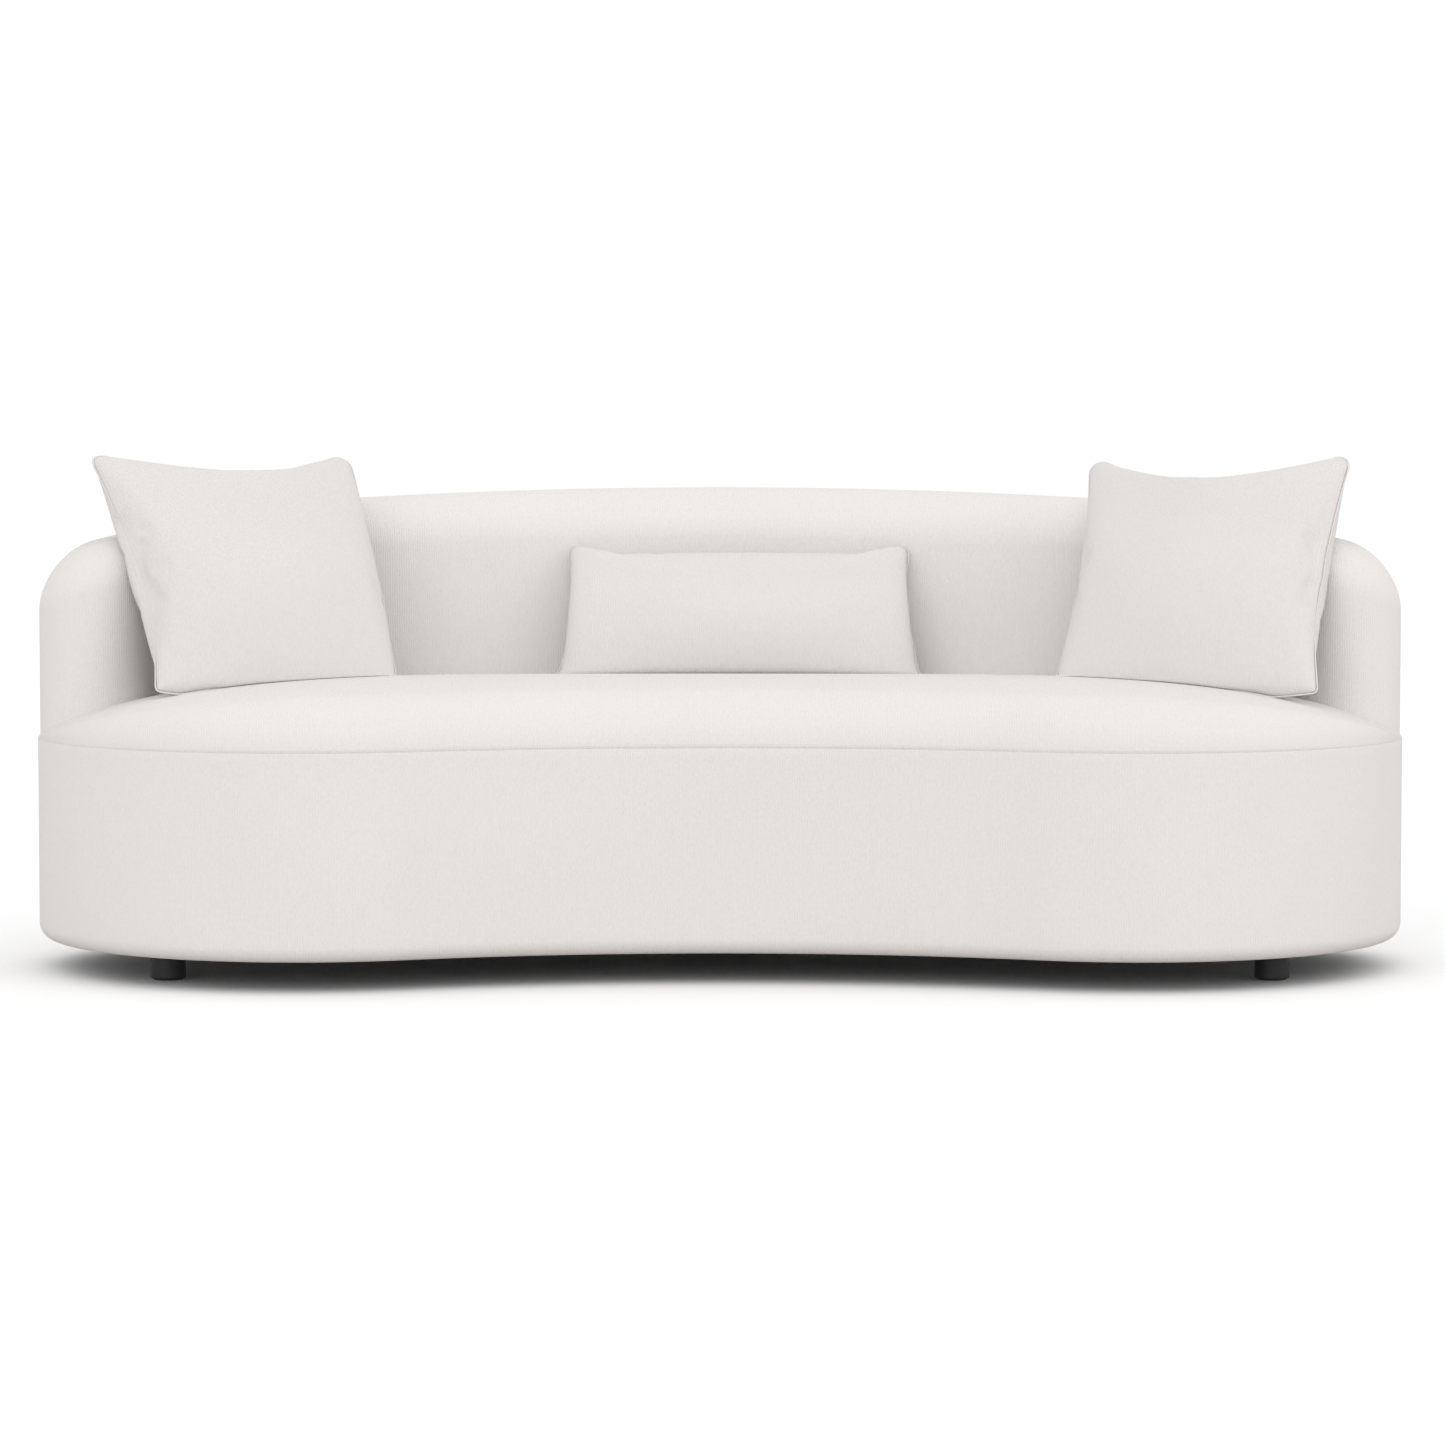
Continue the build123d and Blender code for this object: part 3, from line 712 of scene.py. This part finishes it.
def wave_node(tree, turn, height):
    """A row of threads: the sine of a turn, times a height."""
    return math_node(tree, "MULTIPLY", math_node(tree, "SINE", turn), height)


def noise_node(tree, vector, scale, detail):
    """A cloudy change from place to place."""
    node = tree.nodes.new("ShaderNodeTexNoise")
    node.inputs["Scale"].default_value = scale
    node.inputs["Detail"].default_value = detail
    tree.links.new(vector, node.inputs["Vector"])
    return node.outputs["Fac"]


def ramp_node(tree, factor, low, high):
    """A colour between low and high."""
    node = tree.nodes.new("ShaderNodeValToRGB")
    node.color_ramp.elements[0].color = (*low, 1)
    node.color_ramp.elements[1].color = (*high, 1)
    tree.links.new(factor, node.inputs["Fac"])
    return node.outputs["Color"]


def add_bump(tree, shader, height, distance, strength):
    """Gives a shader a fine relief."""
    node = tree.nodes.new("ShaderNodeBump")
    node.inputs["Distance"].default_value = distance
    node.inputs["Strength"].default_value = strength
    tree.links.new(height, node.inputs["Height"])
    tree.links.new(node.outputs["Normal"], shader.inputs["Normal"])


def cloth_material(name, tones, rib):
    """A woven cloth: slubby ribs up the piece, finer picks across, and a soft change of tone."""
    material = bpy.data.materials.new(name)
    tree, shader = nodes_of(material)
    place = tree.nodes.new("ShaderNodeUVMap")
    place.uv_map = cloth_layer
    split = tree.nodes.new("ShaderNodeSeparateXYZ")
    tree.links.new(place.outputs["UV"], split.inputs[0])
    stretch = tree.nodes.new("ShaderNodeMapping")
    stretch.inputs["Scale"].default_value = slub_stretch
    tree.links.new(place.outputs["UV"], stretch.inputs["Vector"])
    slub = noise_node(tree, stretch.outputs["Vector"], slub_scale, slub_detail)
    sway = noise_node(tree, place.outputs["UV"], sway_scale, soft_detail)
    rib_turn = math_node(tree, "MULTIPLY", split.outputs["X"], 2 * pi / rib)
    rib_turn = math_node(tree, "ADD", rib_turn, math_node(tree, "MULTIPLY", sway, sway_turn))
    ribs = wave_node(tree, rib_turn, rib_height)
    pick_turn = math_node(tree, "MULTIPLY", split.outputs["Y"], 2 * pi / pick_width)
    threads = math_node(tree, "ADD", ribs, wave_node(tree, pick_turn, pick_height))
    height = math_node(tree, "ADD", threads, math_node(tree, "MULTIPLY", slub, slub_height))
    tone = math_node(tree, "ADD", math_node(tree, "MULTIPLY", ribs, rib_tone), slub)
    broad = noise_node(tree, place.outputs["UV"], broad_scale, soft_detail)
    broad = math_node(tree, "SUBTRACT", broad, noise_middle)
    tone = math_node(tree, "ADD", tone, math_node(tree, "MULTIPLY", broad, broad_tone))
    tree.links.new(ramp_node(tree, tone, *tones), shader.inputs["Base Color"])
    add_bump(tree, shader, height, weave_depth, weave_strength)
    for socket, value in cloth_finish.items():
        shader.inputs[socket].default_value = value
    return material


def solid_material(name, low, high, grain, roughness, metallic=0.0, stretch=(1, 1, 1), bump=0.0002):
    """A rigid or filled material with a fine grain, from the object's own place."""
    material = bpy.data.materials.new(name)
    tree, shader = nodes_of(material)
    place = tree.nodes.new("ShaderNodeTexCoord")
    mapping = tree.nodes.new("ShaderNodeMapping")
    mapping.inputs["Scale"].default_value = stretch
    tree.links.new(place.outputs["Object"], mapping.inputs["Vector"])
    grains = noise_node(tree, mapping.outputs["Vector"], grain, grain_detail)
    tree.links.new(ramp_node(tree, grains, low, high), shader.inputs["Base Color"])
    add_bump(tree, shader, grains, bump, grain_strength)
    shader.inputs["Roughness"].default_value = roughness
    shader.inputs["Metallic"].default_value = metallic
    return material


def frame_finishes():
    """The finish of each of the frame's material slots."""
    return {
        "cover_fabric": solid_material(
            "cover_cloth", (0.72, 0.68, 0.64), (0.84, 0.8, 0.77), grain=300, roughness=0.9
        ),
        "foam": solid_material("foam", (0.72, 0.66, 0.5), (0.86, 0.8, 0.64), grain=220, roughness=0.95),
        "timber": solid_material(
            "timber", (0.4, 0.26, 0.14), (0.66, 0.48, 0.3), grain=30, roughness=0.7, stretch=(1, 6, 6)
        ),
        "fibreboard": solid_material(
            "fibreboard", (0.24, 0.16, 0.1), (0.36, 0.26, 0.17), grain=160, roughness=0.85
        ),
        "steel": solid_material(
            "steel", (0.5, 0.5, 0.5), (0.66, 0.66, 0.66), grain=120, roughness=0.35, metallic=1.0
        ),
        "foot_black": solid_material(
            "foot_black", (0.018, 0.018, 0.019), (0.034, 0.034, 0.036), grain=420, roughness=0.5
        ),
        "glide_felt": solid_material(
            "glide_felt", (0.03, 0.03, 0.03), (0.06, 0.06, 0.06), grain=500, roughness=0.95
        ),
        "webbing": solid_material(
            "webbing", (0.12, 0.1, 0.09), (0.24, 0.2, 0.18), grain=260, roughness=0.95, stretch=(1, 1, 8)
        ),
        "dust_cloth": solid_material(
            "dust_cloth", (0.012, 0.012, 0.012), (0.03, 0.03, 0.03), grain=340, roughness=0.95
        ),
    }


def dress_frame():
    """Gives every piece of the frame the finish of its material slot."""
    finishes = frame_finishes()
    for part in frame["record"]["subparts"]:
        obj = frame["nodes"][part["node"]]
        obj.data.materials.clear()
        obj.data.materials.append(finishes[part["material_slot"]])


def dress(obj, material, body, *nodes, fill=None):
    """Finishes a new piece: its material, the body it rides on and the nodes it stands for."""
    obj.data.materials.append(material)
    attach(obj, body)
    if nodes:
        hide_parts(*nodes)


def split_by_ray(tree, lighting, shown, output):
    """Shows one shader to the camera, and lights the scene with another."""
    path = tree.nodes.new("ShaderNodeLightPath")
    either = tree.nodes.new("ShaderNodeMixShader")
    tree.links.new(path.outputs["Is Camera Ray"], either.inputs["Fac"])
    tree.links.new(lighting, either.inputs[1])
    tree.links.new(shown, either.inputs[2])
    tree.links.new(either.outputs["Shader"], tree.nodes[output].inputs["Surface"])


def floor_material():
    """A white floor that throws less light back up onto the sofa than it shows."""
    material = solid_material(
        "floor_white", (0.98, 0.98, 0.98), (1, 1, 1), grain=4, roughness=0.9, bump=0.00001
    )
    tree, shader = nodes_of(material)
    dim = tree.nodes.new("ShaderNodeBsdfDiffuse")
    dim.inputs["Color"].default_value = floor_bounce
    split_by_ray(tree, dim.outputs["BSDF"], shader.outputs["BSDF"], "Material Output")
    return material


def make_floor():
    """A wide pale floor."""
    mesh = bpy.data.meshes.new("floor")
    corners = [(-1, -1), (1, -1), (1, 1), (-1, 1)]
    mesh.from_pydata([(x * floor_reach, y * floor_reach, 0) for x, y in corners], [], [(0, 1, 2, 3)])
    floor = link(bpy.data.objects.new("floor", mesh))
    floor.data.materials.append(floor_material())


def make_surround():
    """Even light from all round, and white behind the sofa."""
    world = bpy.data.worlds.new("studio")
    bpy.context.scene.world = world
    world.use_nodes = True
    tree = world.node_tree
    lighting = tree.nodes["Background"]
    lighting.inputs["Color"].default_value = white
    lighting.inputs["Strength"].default_value = surround_strength
    backdrop = tree.nodes.new("ShaderNodeBackground")
    backdrop.inputs["Color"].default_value = white
    split_by_ray(tree, lighting.outputs["Background"], backdrop.outputs["Background"], "World Output")


def make_suns():
    """Two wide soft lights from above: one in front and a little to the left, one on the right."""
    for name, (energy, toward) in suns.items():
        sun = bpy.data.lights.new(name, "SUN")
        sun.energy = energy
        sun.angle = sun_spread
        lamp = link(bpy.data.objects.new(name, sun))
        lamp.rotation_euler = Vector(toward).to_track_quat("-Z", "Y").to_euler()


def make_camera():
    """The photograph's view: straight on, a little above the seat, with a long lens."""
    data = bpy.data.cameras.new("view")
    data.sensor_fit = "HORIZONTAL"
    data.sensor_width = camera_sensor
    data.lens = camera_lens
    camera = link(bpy.data.objects.new("view", data))
    camera.location = camera_place
    camera.rotation_euler = (radians(90 - camera_pitch), 0, 0)
    bpy.context.scene.camera = camera


def main():
    """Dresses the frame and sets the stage."""
    dress_frame()
    upholstery = cloth_material("upholstery_cloth", upholstery_tones, rib_width)
    pillow_cloth = cloth_material("pillow_cloth", pillow_tones, pillow_rib_width)
    dress(make_seat(), upholstery, "sofa", "seat_cover", "seat_foam", fill=0.95)
    dress(make_front_border(), upholstery, "sofa", "front_border_cover", "front_border_padding", fill=1.0)
    dress(make_inside_back(), upholstery, "sofa", "inside_back_cover", "back_foam", fill=0.95)
    dress(make_outside_back(), upholstery, "sofa", "outside_back_cover", "outside_back_padding", fill=1.0)
    for name in pillows:
        pillow, bead = make_pillow(name)
        layers = (f"{name}_front_panel", f"{name}_back_panel", f"{name}_filling")
        dress(pillow, pillow_cloth, name, *layers, fill=0.8)
        dress(bead, pillow_cloth, name)
    make_floor()
    make_surround()
    make_suns()
    make_camera()
    view = bpy.context.scene.view_settings
    view.view_transform = "Standard"


main()
